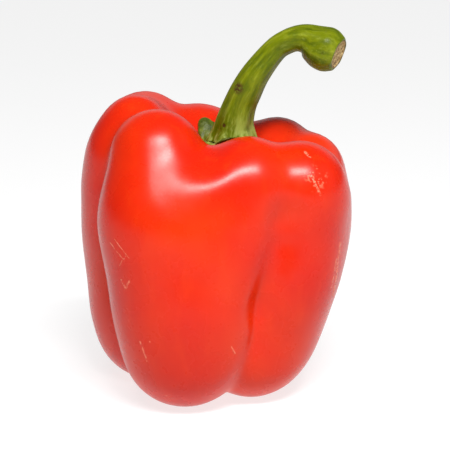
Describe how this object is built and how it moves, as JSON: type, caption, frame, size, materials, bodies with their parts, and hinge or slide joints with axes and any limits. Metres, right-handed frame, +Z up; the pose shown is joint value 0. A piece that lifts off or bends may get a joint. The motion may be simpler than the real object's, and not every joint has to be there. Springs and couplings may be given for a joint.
{
  "type": "bell pepper",
  "caption": "Blocky bell pepper standing on its lobes, with a stem cavity, a pointed calyx and a thick stem that bends over to one side.",
  "frame": {"origin": "on the surface that the pepper stands on, under the middle of its bounding box", "axes": "+Z up, from the blossom end to the stem; +X towards the side that the stem bends over; -Y the front, where the broadest lobe faces"},
  "size_m": [0.0858, 0.0838, 0.1163],
  "materials": {
    "fruit_skin": "glossy waxy red skin with a few pale scars",
    "calyx_green": "dull dark green, leathery",
    "stem_green": "half-glossy ribbed green, with a dry tan cut end"
  },
  "bodies": {
    "root": {"fruit": "fruit_skin", "calyx": "calyx_green", "stem": "stem_green"}
  },
  "joints": []
}
